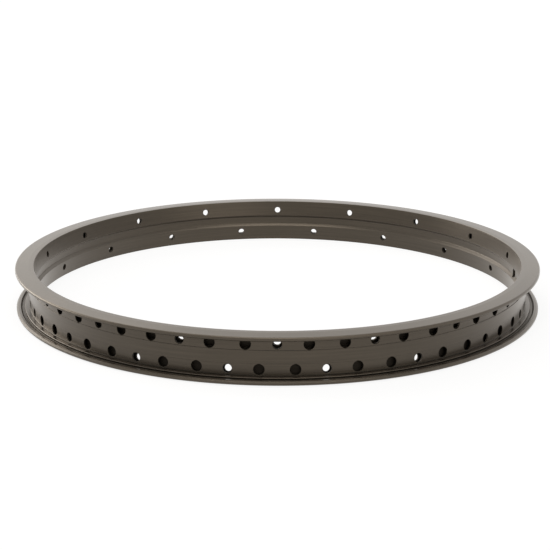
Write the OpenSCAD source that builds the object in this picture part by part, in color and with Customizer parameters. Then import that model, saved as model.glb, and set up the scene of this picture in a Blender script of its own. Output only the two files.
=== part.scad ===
// Double-wall bicycle rim for a 20 inch (406) tyre, one extruded hoop lying on its side.
// Axis along Z, centre of the hoop at the origin. All lengths in millimetres.

/* [Tyre seat] */
// Diameter on which the tyre's bead sits
bead_seat_d = 406; // [340:1:640]
// Height of the flange above the bead seat
flange_h = 6.5; // [6:0.1:8]
// Width of the narrow bead seat
seat_w = 2; // [1.6:0.1:2.4]
// Thickness of the side wall beside the bead seat
side_wall_t = 2.3; // [1.8:0.1:2.6]
// Thickness of the hook at the flange's edge, from the flange's outer face
hook_t = 3.1; // [2.7:0.1:3.4]
// Width of the flat crest of the hook, measured along the radius
hook_crest = 2; // [1.4:0.1:2.4]
// Height of the flat at the flange's outer edge
tip_h = 2.2; // [2:0.1:2.3]
// Rounding of the flange's outer edge
tip_round = 1.4; // [0.6:0.1:1.6]

/* [Side faces] */
// Overall width over both side faces
rim_w = 35.8; // [35:0.1:45]
// How much the side face falls back towards the flange's edge
side_taper = 0.6; // [0.2:0.1:0.9]
// Width of the flat land that the rim lies on
land_w = 4.2; // [3:0.1:6]

/* [Tyre well] */
// Depth of the perforated shelves below the bead seat
shelf_depth = 4; // [3.4:0.1:4.4]
// Clearance between the lightening holes and the raised band between the two shelves
row_clear = 0.3; // [0.2:0.1:0.6]
// Height of that band above the shelves
band_h = 0.35; // [0.2:0.05:0.6]
// Radius that joins the shelf to the side of the bead seat
shelf_fillet = 0.8; // [0.6:0.1:2]
// Thickness of the wall that carries the tyre side's holes
shelf_t = 1.2; // [0.9:0.1:1.4]

/* [Hub side] */
// Depth of the section from the flange's edge to the hub side's outer corner
section_h = 14.6; // [14.4:0.1:18]
// How far the slanted hub side stands out beside the groove, beyond those corners
crown_h = 1.7; // [1:0.1:2.2]
// Thickness of the wall that carries the spoke holes
spoke_wall_t = 1.4; // [1.1:0.1:1.6]
// Width of each slanted side of the groove round the middle of the hub side
groove_side_w = 2.1; // [1.8:0.1:2.4]
// Depth of the groove
groove_depth = 2.2; // [1.6:0.1:2.6]
// Thickness of the wall between the groove and the chamber beside it
groove_wall_t = 0.9; // [0.8:0.1:1.2]

/* [Holes] */
// Number of spokes, half of them in each row
spoke_count = 36; // [28, 32, 36]
// Distance of each row of holes from its side face, on the tyre side
row_inset = 8.8; // [8.5:0.1:9]
// Lean of the spoke holes from the radius, so that the spokes run out to the hub's flanges
spoke_tilt = 11; // [5:0.5:13]
// Diameter of a spoke hole
spoke_hole_d = 5; // [4.4:0.1:5.4]
// Diameter of the access hole above each spoke hole
access_hole_d = 6.5; // [6:0.1:7.4]
// Diameter of a lightening hole
light_hole_d = 7.8; // [7:0.1:8]
// Lightening holes between two access holes of a row
light_per_gap = 2; // [0:1:2]
// Distance along the shelf from one lightening hole of a pair to the other
light_pitch = 25.3; // [20:0.1:27]
// Diameter of the valve hole
valve_hole_d = 8.5; // [6.5:0.1:8.8]
// Place of the valve hole, in spoke spacings from the front
valve_step = 9.5; // [0.5:1:27.5]

/* [Hidden] */

// Radii and heights that the section's corners share
half_w = rim_w / 2;
seat_r = bead_seat_d / 2;
outer_r = seat_r + flange_h;
shelf_r = seat_r - shelf_depth;
band_r = shelf_r + band_h;
hub_edge_r = outer_r - section_h;
hub_r = hub_edge_r - crown_h;
groove_r = hub_r + groove_depth;
flange_z = half_w - side_taper;
tip_z = flange_z - tip_h;
hook_z = flange_z - hook_t;
wall_z = half_w - side_wall_t;
seat_z = wall_z - seat_w;
crest_r = outer_r - (tip_z - hook_z) * 1.5;
hook_foot_r = crest_r - hook_crest - (wall_z - hook_z) * 0.7;

// Place of the rows of holes, and the raised band and the groove that lie between them
row_z = half_w - row_inset;
band_w = 2 * (row_z - light_hole_d / 2 - row_clear);
groove_w = band_w;
groove_floor_w = groove_w - 2 * groove_side_w;

// Slant of the hub side beside the groove
slant = atan(crown_h / (half_w - groove_w / 2));

// Roundings of the extruded corners
edge_round = 0.4;
land_round = 8;
hook_round = 0.6;
foot_round = 0.8;
seat_round = 0.6;
groove_round = 1.1;
band_round = 0.12;
chamber_round = 0.5;

// Inner face of the spoke wall at the height z
function bed_r(z) = hub_r + (z - groove_w / 2) * tan(slant) + spoke_wall_t / cos(slant);

// Hollow chambers beside the groove
chamber_inner_z = groove_w / 2 + groove_wall_t;
chamber_outer_z = wall_z;
chamber_top_r = shelf_r - shelf_t;

// Holes of each row
chamber_mid_r = (bed_r(row_z) + chamber_top_r) / 2;
row_angle = 720 / spoke_count;
stagger_angle = 360 / spoke_count;
light_angle = light_pitch / shelf_r * 180 / PI;
drill_over = 1;

hoop_fn = 360;
hole_fn = 48;
arc_steps = 5;

function unit(v) = v / norm(v);

// Points that round corner b, which lies between a and c, with the radius b[2]
function rounded_corner(a, b, c) =
    let (
        p = [b[0], b[1]],
        to_a = unit([a[0], a[1]] - p),
        to_c = unit([c[0], c[1]] - p),
        half = acos(to_a * to_c) / 2,
        centre = p + unit(to_a + to_c) * b[2] / sin(half),
        start = p + to_a * b[2] / tan(half) - centre,
        end = p + to_c * b[2] / tan(half) - centre,
        sweep = (180 - 2 * half) * sign(cross(start, end))
    )
    [for (i = [0:arc_steps])
        let (s = sweep * i / arc_steps)
        centre + [start[0] * cos(s) - start[1] * sin(s), start[0] * sin(s) + start[1] * cos(s)]];

function rounded(corners) =
    let (n = len(corners))
    [for (i = [0:n - 1])
        each rounded_corner(corners[(i + n - 1) % n], corners[i], corners[(i + 1) % n])];

// Adds the lower half to corners given for the upper half, in reverse order
function both_halves(upper) = concat(upper,
    [for (i = [len(upper) - 1:-1:0]) [upper[i][0], -upper[i][1], upper[i][2]]]);

// Upper half of the section as [radius, height, rounding], from the tyre well round to the hub side
outline = [
    [band_r, band_w / 2, band_round],
    [shelf_r, band_w / 2, band_round],
    [shelf_r, seat_z, shelf_fillet],
    [seat_r, seat_z, seat_round],
    [seat_r, wall_z, seat_round],
    [hook_foot_r, wall_z, foot_round],
    [crest_r - hook_crest, hook_z, hook_round],
    [crest_r, hook_z, hook_round],
    [outer_r, tip_z, edge_round],
    [outer_r, flange_z, tip_round],
    [hub_edge_r + land_w, half_w, land_round],
    [hub_edge_r, half_w, edge_round],
    [hub_r, groove_w / 2, edge_round],
    [groove_r, groove_floor_w / 2, groove_round]
];

// Chamber of the upper half
chamber = [
    [chamber_top_r, chamber_inner_z, chamber_round],
    [chamber_top_r, chamber_outer_z, chamber_round],
    [bed_r(chamber_outer_z), chamber_outer_z, chamber_round],
    [bed_r(chamber_inner_z), chamber_inner_z, chamber_round]
];

// Extruded hoop with its two hollow chambers
module hoop() {
    difference() {
        rotate_extrude($fn = hoop_fn) polygon(rounded(both_halves(outline)));
        for (side = [-1, 1])
            rotate_extrude($fn = hoop_fn)
                polygon(rounded([for (c = chamber) [c[0], side * c[1], c[2]]]));
    }
}

// Drill that passes the shelf at a height, at an angle round the rim from the front.
// It leans by tilt and reaches from one radius to another.
module drill(angle, height, tilt, diameter, from_r, to_r) {
    rotate([0, 0, angle - 90])
        translate([shelf_r, 0, height])
            rotate([0, 90 + tilt * sign(height), 0])
                translate([0, 0, from_r - shelf_r])
                    cylinder(h = to_r - from_r, d = diameter, $fn = hole_fn);
}

// Spoke, access and lightening holes of one row
module hole_row(height, first_angle) {
    for (i = [0:spoke_count / 2 - 1]) {
        angle = first_angle + i * row_angle;
        drill(angle, height, spoke_tilt, spoke_hole_d, hub_r - drill_over, chamber_mid_r);
        drill(angle, height, spoke_tilt, access_hole_d, chamber_mid_r, seat_r);
        if (light_per_gap > 0)
            for (k = [1:light_per_gap])
                drill(
                    angle + row_angle / 2 + (k - (light_per_gap + 1) / 2) * light_angle,
                    height, 0, light_hole_d, chamber_mid_r, seat_r);
    }
}

module rim() {
    color("#5f574f")
        difference() {
            hoop();
            hole_row(row_z, 0);
            hole_row(-row_z, stagger_angle);
            drill(valve_step * stagger_angle, 0, 0, valve_hole_d, hub_r - drill_over, seat_r);
        }
}

rim();
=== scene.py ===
import math

import bpy
import numpy as np
from mathutils import Matrix, Vector


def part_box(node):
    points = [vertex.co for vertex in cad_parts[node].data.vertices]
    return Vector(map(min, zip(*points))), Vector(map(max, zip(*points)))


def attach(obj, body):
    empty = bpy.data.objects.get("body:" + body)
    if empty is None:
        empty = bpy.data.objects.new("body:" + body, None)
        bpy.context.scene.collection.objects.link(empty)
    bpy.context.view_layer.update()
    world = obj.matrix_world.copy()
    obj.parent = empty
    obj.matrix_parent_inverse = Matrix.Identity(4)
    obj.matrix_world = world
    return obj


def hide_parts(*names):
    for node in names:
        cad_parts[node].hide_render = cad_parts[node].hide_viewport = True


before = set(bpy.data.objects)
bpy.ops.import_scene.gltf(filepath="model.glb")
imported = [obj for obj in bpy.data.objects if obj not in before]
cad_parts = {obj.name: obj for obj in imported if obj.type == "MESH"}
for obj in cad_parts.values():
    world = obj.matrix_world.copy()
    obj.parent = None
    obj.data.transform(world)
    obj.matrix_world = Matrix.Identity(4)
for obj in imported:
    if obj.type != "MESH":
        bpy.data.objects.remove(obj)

bl_info = {
    "name": "Double-Wall Bicycle Rim",
    "version": (1, 0, 0),
    "blender": (4, 5, 0),
    "location": "3D View > Sidebar > Rim",
    "description": "Builds an anodised bicycle rim and a plain studio round it",
    "category": "Object",
}

MM = 0.001
CAD_LOW, CAD_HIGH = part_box("rim")

# Sizes of the section in millimetres
FLANGE_H = 6.5
SEAT_W = 2.0
SIDE_WALL_T = 2.3
HOOK_T = 3.1
HOOK_CREST = 2.0
TIP_H = 2.2
SIDE_TAPER = 0.6
LAND_W = 4.2
SHELF_DEPTH = 4.0
BAND_H = 0.35
BAND_HALF_W = 4.9
SHELF_T = 1.2
SECTION_H = 14.6
CROWN_H = 1.7
SPOKE_WALL_T = 1.4
GROOVE_FLOOR_HALF_W = 2.8
GROOVE_DEPTH = 2.2
CHAMBER_INNER_Z = 5.8
ROW_INSET = 8.8

# Place of the valve hole, in spoke spacings from the front
VALVE_STEP = 9.5

# Run of the flange's inner slopes along the radius, for each millimetre of height
CREST_SLOPE = 1.5
FOOT_SLOPE = 0.7

# Roundings of the section's corners in millimetres
BAND_ROUND = 0.12
SHELF_FILLET = 0.8
SEAT_ROUND = 0.6
FOOT_ROUND = 0.8
HOOK_ROUND = 0.6
EDGE_ROUND = 0.4
TIP_ROUND = 1.4
LAND_ROUND = 8.0
GROOVE_ROUND = 1.1
CHAMBER_ROUND = 0.5

# A rounding over this takes all the arc's steps, and a smaller one takes half of them
LARGE_ROUND = 0.7

# Drills: their sides, and in millimetres their reach from the tyre side's face, outwards and towards the
# hub. The spoke drill overlaps the access drill, and a cone ends wider and narrower than its hole
DRILL_SIDES = 64
OUTER_OVER = 4.0
SPOKE_DRILL_END = 8.0
SPOKE_DRILL_OVERLAP = 0.5
VALVE_DRILL_END = 10.0
CONE_WIDER = 1.0
CONE_NARROWER = 0.3

# Kinds of the hoop's faces, and the material of each as its name, share of the colour and gloss, and
# added roughness. A share below one is painted shade in the chamber, the holes and the corners
OUTSIDE, CHAMBER, DRILLED, CORNER = range(4)
FINISHES_AND_PAINTED_SHADE = (
    ("anodised_satin", 1.0, 0.0),
    # Painted shade: the chamber inside the hollow hoop is darkened to a quarter of the colour and gloss
    ("anodised_chamber_painted_shade", 0.25, 0.25),
    # Painted shade: the walls of the holes are darkened to less than half
    ("anodised_drilled_painted_shade", 0.4, 0.2),
    # Painted shade: the foot of the tyre well and the recess behind the hook are darkened
    ("anodised_corner_painted_shade", 0.35, 0.0),
)

# Corners darkened as painted shade, in millimetres: their ends along the radius, and their lowest and highest
# place, counted from the bead seat's inner edge away from the middle of the hoop
WELL_CORNER_REACH = 0.8
WELL_CORNER_LOW = -0.75
WELL_CORNER_HIGH = 0.1
RECESS_BEFORE_SEAT = 0.1
RECESS_BEFORE_CREST = 1.9
RECESS_LOW = 0.65
RECESS_HIGH = 2.1

# Edges that turn by more than this stay sharp
SHARP_ANGLE = math.radians(32)

# A face belongs to the section within this distance and turn from one of its edges. TURN_COST weighs turn
# against distance where several edges would do
GAP_LIMIT = 0.03 * MM
TURN_LIMIT = 0.02
TURN_COST = 0.5 * MM

# Patterns of the finish: scales of each noise, and how far clouds and grain vary from the mean
LINE_SCALE = 2600.0
CLOUD_SCALE = 9.0
STREAK_SCALE = (18.0, 18.0, 900.0)
GRAIN_SCALE = 900.0
CLOUD_RANGE = 0.06
GRAIN_RANGE = 0.05

# Brightness aimed at for the bare floor as the camera sees it, just over white
FLOOR_WHITE = 1.05

# Place of the hoop's centre in a picture 550 wide, from the picture's centre, and the camera's roll in
# radians and sensor in millimetres
PICTURE = 550
CENTRE_RIGHT = 2.41
CENTRE_DOWN = 2.466
ROLL = 0.0022088
SENSOR = 36.0


class RimSection(bpy.types.PropertyGroup):
    """Cross-section of the extruded hoop"""
    outer_radius: bpy.props.FloatProperty(
        name="Outer Radius", description="Radius over the flanges' edges",
        default=CAD_HIGH[0], min=0.15, max=0.35, unit='LENGTH')
    width: bpy.props.FloatProperty(
        name="Width", description="Width over both side faces",
        default=CAD_HIGH[2] - CAD_LOW[2], min=0.03, max=0.05, unit='LENGTH')
    segments: bpy.props.IntProperty(
        name="Segments", description="Segments round the hoop", default=360, min=180, max=1440)
    arc_steps: bpy.props.IntProperty(
        name="Arc Steps", description="Steps of each large rounded corner", default=5, min=2, max=12)


class RimHoles(bpy.types.PropertyGroup):
    """Drilling of the hoop"""
    spoke_count: bpy.props.IntProperty(
        name="Spokes", description="Number of spoke holes in both rows", default=36, min=28, max=36, step=4)
    spoke_diameter: bpy.props.FloatProperty(
        name="Spoke Hole", description="Diameter of a spoke hole", default=5.0 * MM, unit='LENGTH')
    access_diameter: bpy.props.FloatProperty(
        name="Access Hole", description="Diameter of an access hole", default=6.5 * MM, unit='LENGTH')
    light_diameter: bpy.props.FloatProperty(
        name="Lightening Hole", description="Diameter of a lightening hole", default=7.8 * MM, unit='LENGTH')
    light_pitch: bpy.props.FloatProperty(
        name="Lightening Pitch", description="Distance between the two lightening holes of a pair",
        default=25.3 * MM, unit='LENGTH')
    valve_diameter: bpy.props.FloatProperty(
        name="Valve Hole", description="Diameter of the valve hole", default=8.5 * MM, unit='LENGTH')
    tilt: bpy.props.FloatProperty(
        name="Spoke Lean", description="Lean of the spoke holes from the radius",
        default=math.radians(11), subtype='ANGLE')
    deburr: bpy.props.FloatProperty(
        name="Deburr", description="Width of the broken edge round each hole",
        default=0.2 * MM, unit='LENGTH')


class RimFinish(bpy.types.PropertyGroup):
    """Dark satin anodised aluminium"""
    color: bpy.props.FloatVectorProperty(
        name="Colour", description="Colour of the dyed oxide", subtype='COLOR', size=3,
        default=(0.075, 0.061, 0.045), min=0.0, max=1.0)
    sheen_color: bpy.props.FloatVectorProperty(
        name="Sheen Colour", description="Colour of the metal's reflection at a flat angle", subtype='COLOR',
        size=3, default=(1.0, 0.92, 0.83), min=0.0, max=1.0)
    metallic: bpy.props.FloatProperty(
        name="Metallic", description="How metallic the surface looks", default=0.5, min=0.0, max=1.0,
        subtype='FACTOR')
    gloss: bpy.props.FloatProperty(
        name="Gloss", description="Specular level of the clear oxide", default=0.5, min=0.0, max=1.0,
        subtype='FACTOR')
    coat: bpy.props.FloatProperty(
        name="Sealed Coat", description="Extra gloss of the sealed oxide at flat angles", default=0.8,
        min=0.0, max=1.0, subtype='FACTOR')
    roughness: bpy.props.FloatProperty(
        name="Roughness", description="Mean roughness of the satin surface", default=0.32, min=0.0, max=1.0,
        subtype='FACTOR')
    streaks: bpy.props.FloatProperty(
        name="Streaks", description="Strength of the drawn metal's streaks round the hoop", default=0.12,
        min=0.0, max=1.0, subtype='FACTOR')
    line_depth: bpy.props.FloatProperty(
        name="Line Depth", description="Depth of the fine lines that the die leaves", default=0.002 * MM,
        unit='LENGTH')


class RimStage(bpy.types.PropertyGroup):
    """Floor, light and camera"""
    floor_color: bpy.props.FloatVectorProperty(
        name="Floor Colour", description="Colour of the floor under the object", subtype='COLOR', size=3,
        default=(0.8, 0.8, 0.8), min=0.0, max=1.0)
    floor_shadow: bpy.props.FloatProperty(
        name="Floor Shadow", description="Share of the floor's white that the object can shade",
        default=0.2, min=0.0, max=1.0, subtype='FACTOR')
    sky: bpy.props.FloatProperty(
        name="Surroundings", description="Strength of the surroundings on matt surfaces",
        default=0.4, min=0.0)
    lamp_color: bpy.props.FloatVectorProperty(
        name="Lamp Colour", description="Colour of the lamps", subtype='COLOR', size=3,
        default=(1.0, 0.95, 0.88), min=0.0, max=1.0)
    left: bpy.props.FloatProperty(
        name="Left Lamp", description="Strength of the low lamp on the left", default=2.0, min=0.0)
    left_softness: bpy.props.FloatProperty(
        name="Left Softness", description="Angle that the left lamp spans", default=math.radians(50),
        subtype='ANGLE')
    overhead: bpy.props.FloatProperty(
        name="Overhead Lamp", description="Strength of the lamp overhead", default=1.0, min=0.0)
    back: bpy.props.FloatProperty(
        name="Back Lamp", description="Strength of the high lamp behind on the left", default=0.45, min=0.0)
    front: bpy.props.FloatProperty(
        name="Front Lamp", description="Strength of the low lamp in front on the right", default=0.4, min=0.0)
    softness: bpy.props.FloatProperty(
        name="Softness", description="Angle that the other lamps span", default=math.radians(40),
        subtype='ANGLE')
    distance: bpy.props.FloatProperty(
        name="Camera Distance", description="From the camera to the hoop's centre", default=1.2388,
        unit='LENGTH')
    elevation: bpy.props.FloatProperty(
        name="Camera Elevation", description="Height of the view above the horizon", default=0.279107,
        subtype='ANGLE')
    lens: bpy.props.FloatProperty(
        name="Lens", description="Focal length in millimetres", default=99.885, min=20.0, max=300.0)


def rounded_corner(a, b, c, steps):
    """Points, directions from the arc's centre and way of turning of corner b, between a and c."""
    steps = steps if b[2] > LARGE_ROUND else max(2, steps // 2)
    p = Vector(b[:2])
    to_a = (Vector(a[:2]) - p).normalized()
    to_c = (Vector(c[:2]) - p).normalized()
    half = math.acos(max(-1.0, min(1.0, to_a.dot(to_c)))) / 2
    centre = p + (to_a + to_c).normalized() * (b[2] / math.sin(half))
    start = p + to_a * (b[2] / math.tan(half)) - centre
    turn = 1.0 if start.cross(p + to_c * (b[2] / math.tan(half)) - centre) > 0 else -1.0
    sweep = (math.pi - 2 * half) * turn
    points = []
    for i in range(steps + 1):
        s = sweep * i / steps
        cos_s, sin_s = math.cos(s), math.sin(s)
        v = Vector((start.x * cos_s - start.y * sin_s, start.x * sin_s + start.y * cos_s))
        points.append((centre + v, v.normalized(), turn))
    return points


def signed_area(corners):
    """Twice the area of a closed outline, positive where it runs counterclockwise."""
    n = len(corners)
    return sum(corners[i][0] * corners[(i + 1) % n][1] - corners[(i + 1) % n][0] * corners[i][1]
               for i in range(n))


def rounded(corners, steps, hollow=False):
    """Closed outline of rounded corners as points and normals that face out of the metal."""
    n = len(corners)
    way = (1.0 if signed_area(corners) > 0 else -1.0) * (-1.0 if hollow else 1.0)
    points, normals = [], []
    for i in range(n):
        for point, normal, turn in rounded_corner(corners[i - 1], corners[i], corners[(i + 1) % n], steps):
            points.append(tuple(point))
            normals.append(tuple(normal * turn * way))
    return np.array(points), np.array(normals)


def section(sizes):
    """Corners of the hoop's outline and of its upper chamber as (radius, height, rounding) in millimetres."""
    outer_r = sizes.outer_radius / MM
    half_w = sizes.width / MM / 2
    seat_r = outer_r - FLANGE_H
    shelf_r = seat_r - SHELF_DEPTH
    hub_edge_r = outer_r - SECTION_H
    hub_r = hub_edge_r - CROWN_H
    flange_z = half_w - SIDE_TAPER
    tip_z = flange_z - TIP_H
    hook_z = flange_z - HOOK_T
    wall_z = half_w - SIDE_WALL_T
    seat_z = wall_z - SEAT_W
    crest_r = outer_r - (tip_z - hook_z) * CREST_SLOPE
    foot_r = crest_r - HOOK_CREST - (wall_z - hook_z) * FOOT_SLOPE
    upper = [
        (shelf_r + BAND_H, BAND_HALF_W, BAND_ROUND),
        (shelf_r, BAND_HALF_W, BAND_ROUND),
        (shelf_r, seat_z, SHELF_FILLET),
        (seat_r, seat_z, SEAT_ROUND),
        (seat_r, wall_z, SEAT_ROUND),
        (foot_r, wall_z, FOOT_ROUND),
        (crest_r - HOOK_CREST, hook_z, HOOK_ROUND),
        (crest_r, hook_z, HOOK_ROUND),
        (outer_r, tip_z, EDGE_ROUND),
        (outer_r, flange_z, TIP_ROUND),
        (hub_edge_r + LAND_W, half_w, LAND_ROUND),
        (hub_edge_r, half_w, EDGE_ROUND),
        (hub_r, BAND_HALF_W, EDGE_ROUND),
        (hub_r + GROOVE_DEPTH, GROOVE_FLOOR_HALF_W, GROOVE_ROUND),
    ]
    outline = upper + [(r, -z, rounding) for r, z, rounding in reversed(upper)]
    slant = math.atan(CROWN_H / (half_w - BAND_HALF_W))

    def bed(z):
        """Inner face of the spoke wall at the height z."""
        return hub_r + (z - BAND_HALF_W) * math.tan(slant) + SPOKE_WALL_T / math.cos(slant)

    top = shelf_r - SHELF_T
    chamber = [
        (top, CHAMBER_INNER_Z, CHAMBER_ROUND),
        (top, wall_z, CHAMBER_ROUND),
        (bed(wall_z), wall_z, CHAMBER_ROUND),
        (bed(CHAMBER_INNER_Z), CHAMBER_INNER_Z, CHAMBER_ROUND),
    ]
    row_z = half_w - ROW_INSET
    places = {"shelf_r": shelf_r, "hub_r": hub_r, "row_z": row_z, "slant": slant, "seat_r": seat_r,
              "seat_z": seat_z, "crest_r": crest_r, "mid_r": (bed(row_z) + top) / 2}
    return outline, chamber, places


def mesh_from(name, verts, faces):
    """Mesh object of the given vertices and faces."""
    mesh = bpy.data.meshes.new(name)
    mesh.from_pydata(verts, [], faces)
    mesh.update()
    obj = bpy.data.objects.new(name, mesh)
    bpy.context.scene.collection.objects.link(obj)
    return obj


def revolve(points, segments, flip):
    """Vertices and faces of a closed outline turned about Z."""
    n = len(points)
    angles = np.arange(segments) * 2 * math.pi / segments
    verts = np.empty((segments, n, 3))
    verts[:, :, 0] = np.cos(angles)[:, None] * points[None, :, 0]
    verts[:, :, 1] = np.sin(angles)[:, None] * points[None, :, 0]
    verts[:, :, 2] = points[None, :, 1]
    faces = []
    for i in range(segments):
        j = (i + 1) % segments
        for k in range(n):
            m = (k + 1) % n
            face = (i * n + k, j * n + k, j * n + m, i * n + m)
            faces.append(face[::-1] if flip else face)
    return verts.reshape(-1, 3).tolist(), faces


def turned(profile, matrix, sides=DRILL_SIDES):
    """Vertices and faces of a solid turned about its own axis: profile is (radius, height) pairs."""
    verts = [(0.0, 0.0, profile[0][1]), (0.0, 0.0, profile[-1][1])]
    faces = []
    n = len(profile)
    for i in range(sides):
        a = 2 * math.pi * i / sides
        verts += [(r * math.cos(a), r * math.sin(a), h) for r, h in profile]
    for i in range(sides):
        j = (i + 1) % sides
        a, b = 2 + i * n, 2 + j * n
        faces.append((0, b, a))
        faces.append((1, a + n - 1, b + n - 1))
        faces += [(a + k, b + k, b + k + 1, a + k + 1) for k in range(n - 1)]
    return [matrix @ Vector(v) for v in verts], faces


def joined(name, solids):
    """One mesh object of several solids."""
    verts, faces = [], []
    for v, f in solids:
        base = len(verts)
        verts += v
        faces += [tuple(base + i for i in face) for face in f]
    return mesh_from(name, verts, faces)


def drill_matrix(angle, radius, height, lean):
    """Frame of a drill: it points out of the hoop at an angle round from the front, leaning by lean."""
    turn = Matrix.Rotation(angle - math.pi / 2, 4, 'Z')
    return turn @ Matrix.Translation((radius, 0, height)) @ Matrix.Rotation(
        math.pi / 2 + math.copysign(lean, height), 4, 'Y')


def drills(holes, at):
    """Lists of separate cutters in millimetres: wide bores, narrow bores, and cones that break the edges."""
    wide, narrow, cones = [], [], []
    step = math.radians(720 / holes.spoke_count)
    edge = holes.deburr / MM
    spoke_r, access_r, light_r, valve_r = (
        d / MM / 2 for d in (holes.spoke_diameter, holes.access_diameter, holes.light_diameter,
                             holes.valve_diameter))
    shelf_r, row_z = at["shelf_r"], at["row_z"]
    to_chamber = at["mid_r"] - shelf_r
    slope = math.tan(at["slant"])
    lean = math.tan(holes.tilt)
    depth = (shelf_r - at["hub_r"] - (row_z - BAND_HALF_W) * slope) / (1 + lean * slope)
    exit_r, exit_z = shelf_r - depth, row_z + depth * lean
    light_turn = holes.light_pitch / MM / shelf_r

    def cone(angle, radius, height, tilt, hole_r, out):
        """Cone that breaks the edge of a hole, on the face that looks out of the hoop or into it."""
        matrix = drill_matrix(angle, radius, height, tilt)
        if out:
            profile = [(hole_r - CONE_NARROWER, -edge - CONE_NARROWER),
                       (hole_r + CONE_WIDER, CONE_WIDER - edge)]
        else:
            profile = [(hole_r + CONE_WIDER, edge - CONE_WIDER),
                       (hole_r - CONE_NARROWER, edge + CONE_NARROWER)]
        cones.append(turned(profile, matrix))

    for side in (1, -1):
        for i in range(holes.spoke_count // 2):
            angle = i * step + (step / 2 if side < 0 else 0)
            height = side * row_z
            matrix = drill_matrix(angle, shelf_r, height, holes.tilt)
            wide.append(turned([(access_r, to_chamber), (access_r, OUTER_OVER)], matrix))
            bore = [(spoke_r, -SPOKE_DRILL_END), (spoke_r, to_chamber + SPOKE_DRILL_OVERLAP)]
            narrow.append(turned(bore, matrix))
            cone(angle, shelf_r, height, 0, access_r, True)
            cone(angle, exit_r, side * exit_z, at["slant"], spoke_r, False)
            for k in (-0.5, 0.5):
                turn = angle + step / 2 + k * light_turn
                matrix = drill_matrix(turn, shelf_r, height, 0)
                wide.append(turned([(light_r, to_chamber), (light_r, OUTER_OVER)], matrix))
                cone(turn, shelf_r, height, 0, light_r, True)
    valve = math.radians(VALVE_STEP * 360 / holes.spoke_count)
    matrix = drill_matrix(valve, shelf_r + BAND_H, 0, 0)
    narrow.append(turned([(valve_r, -VALVE_DRILL_END), (valve_r, OUTER_OVER)], matrix))
    cone(valve, shelf_r + BAND_H, 0, 0, valve_r, True)
    return wide, narrow, cones


def cut(obj, solids):
    """Takes the solids out of the object."""
    tool = joined("cutter", solids)
    modifier = obj.modifiers.new("cut", 'BOOLEAN')
    modifier.operation = 'DIFFERENCE'
    modifier.solver = 'MANIFOLD'
    modifier.object = tool
    graph = bpy.context.evaluated_depsgraph_get()
    mesh = bpy.data.meshes.new_from_object(obj.evaluated_get(graph))
    obj.modifiers.remove(modifier)
    old = obj.data
    obj.data = mesh
    bpy.data.meshes.remove(old)
    bpy.data.meshes.remove(tool.data)


def in_shaded_corner(place, at):
    """True in the corner at the foot of the tyre well and in the recess between bead seat and hook, whose
    faces get painted shade.
    """
    r, z = place[0] / MM, abs(place[1]) / MM
    above = z - at["seat_z"]
    well_end = at["shelf_r"] + WELL_CORNER_REACH
    beside_well = at["shelf_r"] < r < well_end and WELL_CORNER_LOW < above < WELL_CORNER_HIGH
    hook_start, hook_end = at["seat_r"] - RECESS_BEFORE_SEAT, at["crest_r"] - RECESS_BEFORE_CREST
    beside_hook = hook_start < r < hook_end and RECESS_LOW < above < RECESS_HIGH
    return beside_well or beside_hook


def section_edges(profiles, at):
    """Edges of the profiles, each as its two ends, the normals there and its kind of face."""
    edges = []
    for points, normals, hollow in profiles:
        following = np.roll(np.arange(len(points)), -1)
        for k, m in enumerate(following):
            kind = CHAMBER if hollow else CORNER if in_shaded_corner((points[k] + points[m]) / 2, at) else OUTSIDE
            edges.append((points[k], points[m], normals[k], normals[m], kind))
    return edges


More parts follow.
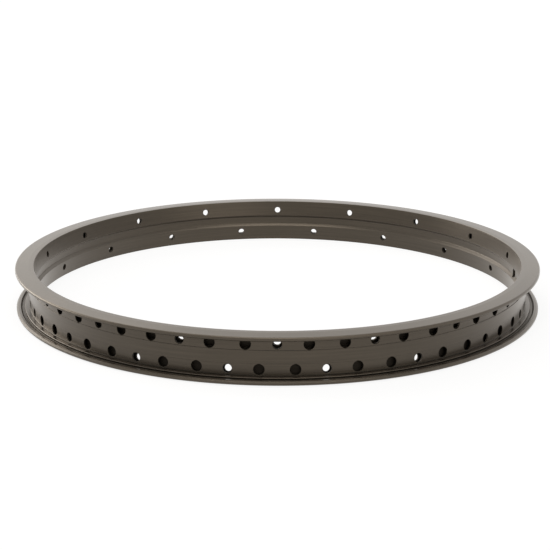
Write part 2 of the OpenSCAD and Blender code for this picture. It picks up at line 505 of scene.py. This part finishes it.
def smooth_section(obj, profiles, at):
    """Gives the turned faces the section's true normals and sets each face's material."""
    mesh = obj.data
    n_faces = len(mesh.polygons)

    def read(source, key, width, kind=np.float64):
        values = np.empty(len(source) * width, dtype=kind)
        source.foreach_get(key, values)
        return values.reshape(-1, width) if width > 1 else values

    mesh.polygons.foreach_set("use_smooth", np.ones(n_faces, dtype=bool))
    mesh.set_sharp_from_angle(angle=SHARP_ANGLE)
    co = read(mesh.vertices, "co", 3)
    face_normal = read(mesh.polygons, "normal", 3)
    starts = read(mesh.polygons, "loop_start", 1, np.int32)
    totals = read(mesh.polygons, "loop_total", 1, np.int32)
    loop_vert = read(mesh.loops, "vertex_index", 1, np.int32)
    corner = read(mesh.corner_normals, "vector", 3)
    loop_face = np.repeat(np.arange(n_faces), totals)

    # Each face's middle and normal in the plane of the section
    out = co * (1, 1, 0)
    radius = np.hypot(co[:, 0], co[:, 1])
    out /= np.maximum(radius, 1e-9)[:, None]
    place = np.stack([radius, co[:, 2]], axis=1)[loop_vert]
    face_place = np.add.reduceat(place, starts, axis=0) / totals[:, None]
    face_out = np.add.reduceat(out[loop_vert], starts, axis=0) / totals[:, None]
    face_out /= np.maximum(np.linalg.norm(face_out, axis=1), 1e-9)[:, None]
    face_flat = np.stack([(face_normal * face_out).sum(axis=1), face_normal[:, 2]], axis=1)

    # The edge of the section that each face lies on, or none for the walls of holes
    edges = section_edges(profiles, at)
    best = np.full(n_faces, 1e9)
    match = np.full(n_faces, -1)
    for number, (a, b, normal_a, normal_b, _) in enumerate(edges):
        d = b - a
        length = np.hypot(*d)
        if length < 1e-9:
            continue
        across = np.array([d[1], -d[0]]) / length
        if across @ (normal_a + normal_b) < 0:
            across = -across
        t = np.clip(((face_place - a) @ d) / length ** 2, 0, 1)
        gap = np.linalg.norm(face_place - a - t[:, None] * d, axis=1)
        turned_away = 1 - face_flat @ across
        cost = gap + TURN_COST * turned_away
        ok = (gap < GAP_LIMIT) & (turned_away < TURN_LIMIT) & (cost < best)
        best[ok] = cost[ok]
        match[ok] = number

    # Normals between those of the edge's ends
    edge_array = [np.array([e[i] for e in edges]) for i in range(5)]
    hit = (match >= 0)[loop_face]
    a, b, normal_a, normal_b = (values[match[loop_face][hit]] for values in edge_array[:4])
    d = b - a
    t = np.clip(((place[hit] - a) * d).sum(axis=1) / (d * d).sum(axis=1), 0, 1)[:, None]
    flat = normal_a * (1 - t) + normal_b * t
    flat /= np.linalg.norm(flat, axis=1)[:, None]
    corner[hit] = out[loop_vert][hit] * flat[:, :1]
    corner[hit, 2] = flat[:, 1]

    material = np.where(match < 0, DRILLED, edge_array[4][match]).astype(np.int32)
    mesh.polygons.foreach_set("material_index", material)
    mesh.normals_split_custom_set(corner.tolist())
    return np.bincount(material, minlength=len(FINISHES_AND_PAINTED_SHADE))


def add_node(tree, kind, inputs, operation=None):
    """Adds a node, whose inputs take plain values or other nodes' outputs."""
    node = tree.nodes.new(kind)
    if operation:
        node.operation = operation
    set_inputs(tree, node, inputs)
    return node


def set_inputs(tree, node, inputs):
    """Sets or links a node's inputs."""
    for key, value in inputs.items():
        if isinstance(value, bpy.types.NodeSocket):
            tree.links.new(value, node.inputs[key])
        else:
            node.inputs[key].default_value = value


def seen_directly(tree):
    """Output that gives 1 to camera, glossy and transmission rays, and 0 to the others."""
    path = add_node(tree, "ShaderNodeLightPath", {})
    seen = path.outputs["Is Camera Ray"]
    for ray in ("Is Glossy Ray", "Is Transmission Ray"):
        seen = add_node(tree, "ShaderNodeMath", {0: path.outputs[ray], 1: seen}, 'MAXIMUM').outputs[0]
    return seen


def anodised(finish, name, shade_scale=1.0, rough=0.0):
    """Satin dyed oxide. Its darkening factor scales colour and gloss and, below one, paints shade; rough adds
    to its roughness.
    """
    material = bpy.data.materials.new(name)
    material.use_nodes = True
    tree = material.node_tree
    color = tuple(c * shade_scale for c in finish.color)
    roughness = finish.roughness + rough
    place = add_node(tree, "ShaderNodeTexCoord", {}).outputs["Object"]

    # Fine lines of the die, which run round the hoop and vary with radius and height only
    split = add_node(tree, "ShaderNodeSeparateXYZ", {0: place})
    level = add_node(tree, "ShaderNodeCombineXYZ", {"X": split.outputs["X"], "Y": split.outputs["Y"]})
    radius = add_node(tree, "ShaderNodeVectorMath", {0: level.outputs[0]}, 'LENGTH')
    across = add_node(tree, "ShaderNodeCombineXYZ", {"X": radius.outputs["Value"], "Y": split.outputs["Z"]})
    lines = add_node(tree, "ShaderNodeTexNoise", {
        "Scale": LINE_SCALE, "Detail": 4.0, "Roughness": 0.6, "Vector": across.outputs[0]})
    bump = add_node(tree, "ShaderNodeBump", {
        "Strength": 0.5, "Distance": finish.line_depth, "Height": lines.outputs[0]})

    # Clouds and streaks in the colour, and grain in the roughness
    cloud = add_node(tree, "ShaderNodeTexNoise", {"Scale": CLOUD_SCALE, "Detail": 3.0, "Vector": place})
    cloud_tint = add_node(tree, "ShaderNodeMapRange", {
        "To Min": 1.0 - CLOUD_RANGE, "To Max": 1.0 + CLOUD_RANGE, "Value": cloud.outputs[0]})
    stretched = add_node(tree, "ShaderNodeVectorMath", {0: place, 1: STREAK_SCALE}, 'MULTIPLY')
    streaks = add_node(tree, "ShaderNodeTexNoise", {
        "Scale": 1.0, "Detail": 4.0, "Vector": stretched.outputs["Vector"]})
    streak_tint = add_node(tree, "ShaderNodeMapRange", {
        "From Min": 0.3, "From Max": 0.7, "To Min": 1.0 - finish.streaks, "To Max": 1.0 + finish.streaks,
        "Value": streaks.outputs[0]})
    tint = add_node(tree, "ShaderNodeMath", {0: cloud_tint.outputs[0], 1: streak_tint.outputs[0]}, 'MULTIPLY')
    shade = add_node(tree, "ShaderNodeVectorMath", {0: color, "Scale": tint.outputs[0]}, 'SCALE')
    grain = add_node(tree, "ShaderNodeTexNoise", {"Scale": GRAIN_SCALE, "Detail": 3.0, "Vector": place})
    grain_range = add_node(tree, "ShaderNodeMapRange", {
        "To Min": roughness - GRAIN_RANGE, "To Max": roughness + GRAIN_RANGE, "Value": grain.outputs[0]})

    # Sealed coat that gains at flat angles
    facing = add_node(tree, "ShaderNodeLayerWeight", {})
    coat = add_node(tree, "ShaderNodeMath", {0: facing.outputs["Facing"], 1: finish.coat * shade_scale}, 'MULTIPLY')

    set_inputs(tree, tree.nodes["Principled BSDF"], {
        "Base Color": shade.outputs["Vector"],
        "Metallic": finish.metallic,
        "Specular IOR Level": finish.gloss * shade_scale,
        "Specular Tint": (*finish.sheen_color, 1.0),
        "Roughness": grain_range.outputs[0],
        "Coat Weight": coat.outputs[0],
        "Coat Roughness": roughness,
        "Coat IOR": 1.5,
        "Normal": bump.outputs[0],
    })
    return material


class RIM_OT_hoop(bpy.types.Operator):
    """Builds the extruded and drilled hoop"""
    bl_idname = "rim.hoop"
    bl_label = "Hoop"

    def execute(self, context):
        scene = context.scene
        sizes, holes = scene.rim_section, scene.rim_holes
        outline, chamber, at = section(sizes)
        profiles = [(*rounded(outline, sizes.arc_steps), False)]
        for side in (1, -1):
            corners = [(r, side * z, rounding) for r, z, rounding in chamber]
            profiles.append((*rounded(corners, sizes.arc_steps, True), True))
        solids = []
        for points, _, hollow in profiles:
            solids.append(revolve(points, sizes.segments, (signed_area(points) < 0) != hollow))
        obj = joined("rim_hoop", solids)
        whole = len(obj.data.polygons)
        for group in drills(holes, at):
            cut(obj, group)
        if len(obj.data.polygons) <= whole:
            raise RuntimeError("the hoop wasn't drilled")
        obj.data.transform(Matrix.Scale(MM, 4))
        obj.data.materials.clear()
        scaled = [(points * MM, normals, hollow) for points, normals, hollow in profiles]
        counts = smooth_section(obj, scaled, at)
        print("hoop faces outside, in the chambers, in the holes and in the corners:", counts.tolist())
        if min(counts) == 0:
            raise RuntimeError("the hoop's faces don't follow its section")
        # Materials below full share carry painted shade
        for name, shade_scale, rough in FINISHES_AND_PAINTED_SHADE:
            obj.data.materials.append(anodised(scene.rim_finish, name, shade_scale, rough))
        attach(obj, "root")
        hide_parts("rim")
        return {'FINISHED'}


class RIM_OT_stage(bpy.types.Operator):
    """Builds the floor, the surroundings, the lamps and the camera"""
    bl_idname = "rim.stage"
    bl_label = "Stage"

    def execute(self, context):
        scene = context.scene
        stage = scene.rim_stage
        scene.view_settings.view_transform = 'Standard'
        self.floor(scene, stage)
        self.surroundings(scene, stage)
        self.lamps(scene, stage)
        self.camera(scene, stage)
        return {'FINISHED'}

    @staticmethod
    def floor(scene, stage):
        """White to the camera and in reflections, less the object's soft shadow, and pale to other light."""
        reach, level = 6, -scene.rim_section.width / 2
        ends = ((-reach, -reach), (reach, -reach), (reach, reach), (-reach, reach))
        floor = mesh_from("stage_floor", [(x, y, level) for x, y in ends], [(0, 1, 2, 3)])
        material = bpy.data.materials.new("stage_floor")
        material.use_nodes = True
        tree = material.node_tree
        plain = tree.nodes["Principled BSDF"]
        set_inputs(tree, plain, {"Base Color": (*stage.floor_color, 1.0), "Roughness": 0.9})
        glow = add_node(tree, "ShaderNodeEmission", {"Strength": FLOOR_WHITE - stage.floor_shadow})
        shaded = add_node(tree, "ShaderNodeBsdfDiffuse", {"Color": (stage.floor_shadow,) * 3 + (1.0,)})
        both = add_node(tree, "ShaderNodeAddShader", {0: glow.outputs[0], 1: shaded.outputs[0]})
        pick = add_node(tree, "ShaderNodeMixShader", {
            0: seen_directly(tree), 1: plain.outputs[0], 2: both.outputs[0]})
        set_inputs(tree, tree.nodes["Material Output"], {"Surface": pick.outputs[0]})
        floor.data.materials.append(material)

    @staticmethod
    def surroundings(scene, stage):
        """White to the camera and in reflections, and weaker on matt surfaces."""
        world = bpy.data.worlds.new("studio")
        scene.world = world
        world.use_nodes = True
        tree = world.node_tree
        strength = add_node(tree, "ShaderNodeMapRange", {
            "To Min": stage.sky, "To Max": 1.0, "Value": seen_directly(tree)})
        set_inputs(tree, tree.nodes["Background"], {
            "Color": (1.0, 1.0, 1.0, 1.0), "Strength": strength.outputs[0]})

    @staticmethod
    def lamps(scene, stage):
        """Soft lamps, each with its angle round from the front and its height, both in degrees."""
        for name, azimuth, elevation, power, softness in (
                ("lamp_left", -118, 8, stage.left, stage.left_softness),
                ("lamp_overhead", 0, 80, stage.overhead, stage.softness),
                ("lamp_back", -150, 40, stage.back, stage.softness),
                ("lamp_front", 30, 12, stage.front, stage.softness)):
            lamp = bpy.data.objects.new(name, bpy.data.lights.new(name, 'SUN'))
            scene.collection.objects.link(lamp)
            lamp.data.energy = power
            lamp.data.angle = softness
            lamp.data.color = stage.lamp_color
            turn, rise = math.radians(azimuth), math.radians(elevation)
            flat = math.cos(rise)
            toward = Vector((math.sin(turn) * flat, -math.cos(turn) * flat, math.sin(rise)))
            lamp.rotation_euler = toward.to_track_quat('Z', 'Y').to_euler()

    @staticmethod
    def camera(scene, stage):
        """Camera in front of the hoop, aimed so that the hoop's centre lies beside the picture's centre."""
        camera = bpy.data.objects.new("camera", bpy.data.cameras.new("camera"))
        scene.collection.objects.link(camera)
        camera.data.sensor_width = SENSOR
        camera.data.lens = stage.lens
        camera.data.clip_start = 0.05
        place = Vector((0, -math.cos(stage.elevation), math.sin(stage.elevation))) * stage.distance
        ahead = -place.normalized()
        right = Vector((1, 0, 0))
        up = right.cross(ahead)
        focal = stage.lens / SENSOR * PICTURE
        ahead = (ahead - right * (CENTRE_RIGHT / focal) + up * (CENTRE_DOWN / focal)).normalized()
        right = (right - ahead * right.dot(ahead)).normalized()
        up = right.cross(ahead)
        turn = Matrix((right, up, -ahead)).transposed() @ Matrix.Rotation(ROLL, 3, 'Z')
        camera.matrix_world = Matrix.Translation(place) @ turn.to_4x4()
        scene.camera = camera


class RIM_PT_panel(bpy.types.Panel):
    """Sizes, finish and stage of the rim"""
    bl_idname = "RIM_PT_panel"
    bl_label = "Bicycle Rim"
    bl_space_type = 'VIEW_3D'
    bl_region_type = 'UI'
    bl_category = "Rim"

    def draw(self, context):
        for name, operator in (("rim_section", None), ("rim_holes", None), ("rim_finish", "rim.hoop"),
                               ("rim_stage", "rim.stage")):
            group = getattr(context.scene, name)
            box = self.layout.box()
            for key in group.bl_rna.properties.keys():
                if key not in ("rna_type", "name"):
                    box.prop(group, key)
            if operator:
                box.operator(operator)


CLASSES = (RimSection, RimHoles, RimFinish, RimStage, RIM_OT_hoop, RIM_OT_stage, RIM_PT_panel)
GROUPS = {"rim_section": RimSection, "rim_holes": RimHoles, "rim_finish": RimFinish, "rim_stage": RimStage}


def register():
    for cls in CLASSES:
        bpy.utils.register_class(cls)
    for name, group in GROUPS.items():
        setattr(bpy.types.Scene, name, bpy.props.PointerProperty(type=group))


def unregister():
    for name in GROUPS:
        delattr(bpy.types.Scene, name)
    for cls in reversed(CLASSES):
        bpy.utils.unregister_class(cls)


def main():
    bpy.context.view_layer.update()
    register()
    bpy.ops.rim.hoop()
    bpy.ops.rim.stage()


if __name__ == "__main__":
    main()
